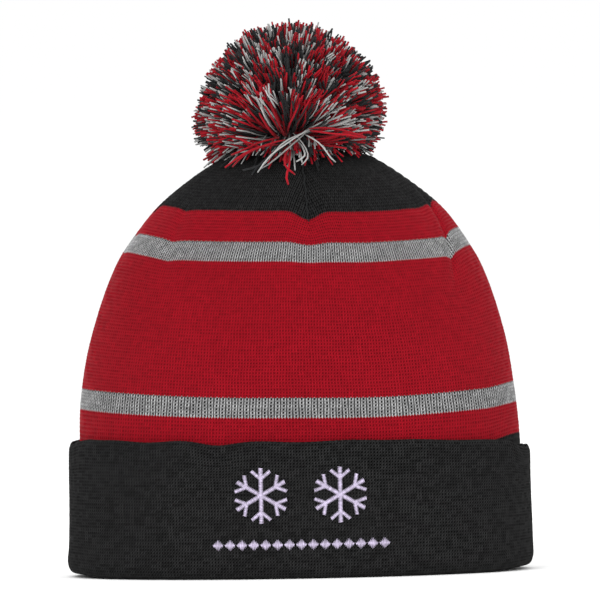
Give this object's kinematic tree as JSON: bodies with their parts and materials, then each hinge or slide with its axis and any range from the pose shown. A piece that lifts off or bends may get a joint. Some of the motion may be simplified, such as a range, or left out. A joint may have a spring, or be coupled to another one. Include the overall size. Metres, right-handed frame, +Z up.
{
  "type": "pom pom beanie",
  "caption": "Knitted cuffed beanie in red with grey stripes and a black crown and cuff, with a tied three-colour yarn pom on a gathered crown.",
  "frame": {"origin": "centre of the rim's footprint, on the plane that the hat stands on", "axes": "+X across the hat, -Y the front with the embroidered cuff, +Z up through the crown to the pom"},
  "size_m": [0.2346, 0.1461, 0.2795],
  "materials": {
    "red_knit": "soft acrylic knit",
    "black_knit": "soft acrylic knit",
    "grey_knit": "soft acrylic knit",
    "lining_knit": "soft acrylic knit",
    "cuff_knit": "soft acrylic knit",
    "seam_thread": "sewing thread",
    "backing": "matt non-woven sheet",
    "lilac_thread": "satin embroidery thread",
    "tie_cord": "twisted yarn",
    "red_yarn": "cut acrylic yarn",
    "black_yarn": "cut acrylic yarn",
    "grey_yarn": "cut acrylic yarn"
  },
  "bodies": {
    "hat": {"crown_section": "black_knit", "upper_red_band": "red_knit", "upper_grey_stripe": "grey_knit", "main_red_band": "red_knit", "lower_grey_stripe": "grey_knit", "lower_red_band": "red_knit", "base_band": "black_knit", "lining": "lining_knit", "crown_seam_thread": "seam_thread", "lining_seam_thread": "seam_thread", "cuff_under_layer": "black_knit", "cuff_face": "cuff_knit", "embroidery_backing": "backing", "left_snowflake": "lilac_thread", "right_snowflake": "lilac_thread", "stitched_border": "lilac_thread"},
    "anchor": {"anchor_cord": "tie_cord", "inside_knot": "tie_cord"},
    "tie": {"tie_knot": "tie_cord"},
    "pom": {"pom_binding": "tie_cord", "pom_red_yarn": "red_yarn", "pom_black_yarn": "black_yarn", "pom_grey_yarn": "grey_yarn"}
  },
  "joints": [
    {"name": "pom_twist", "type": "hinge", "parent": "hat", "child": "anchor", "pos_m": [0, 0, 0.2265], "axis": [0, 0, 1], "range_deg": [-40, 40], "stiffness_Nm_per_rad": 0.03},
    {"name": "pom_nod", "type": "hinge", "parent": "anchor", "child": "tie", "pos_m": [0, 0, 0.2265], "axis": [1, 0, 0], "range_deg": [-15, 15], "stiffness_Nm_per_rad": 0.03},
    {"name": "pom_sway", "type": "hinge", "parent": "tie", "child": "pom", "pos_m": [0, 0, 0.2265], "axis": [0, 1, 0], "range_deg": [-15, 15], "stiffness_Nm_per_rad": 0.03}
  ]
}
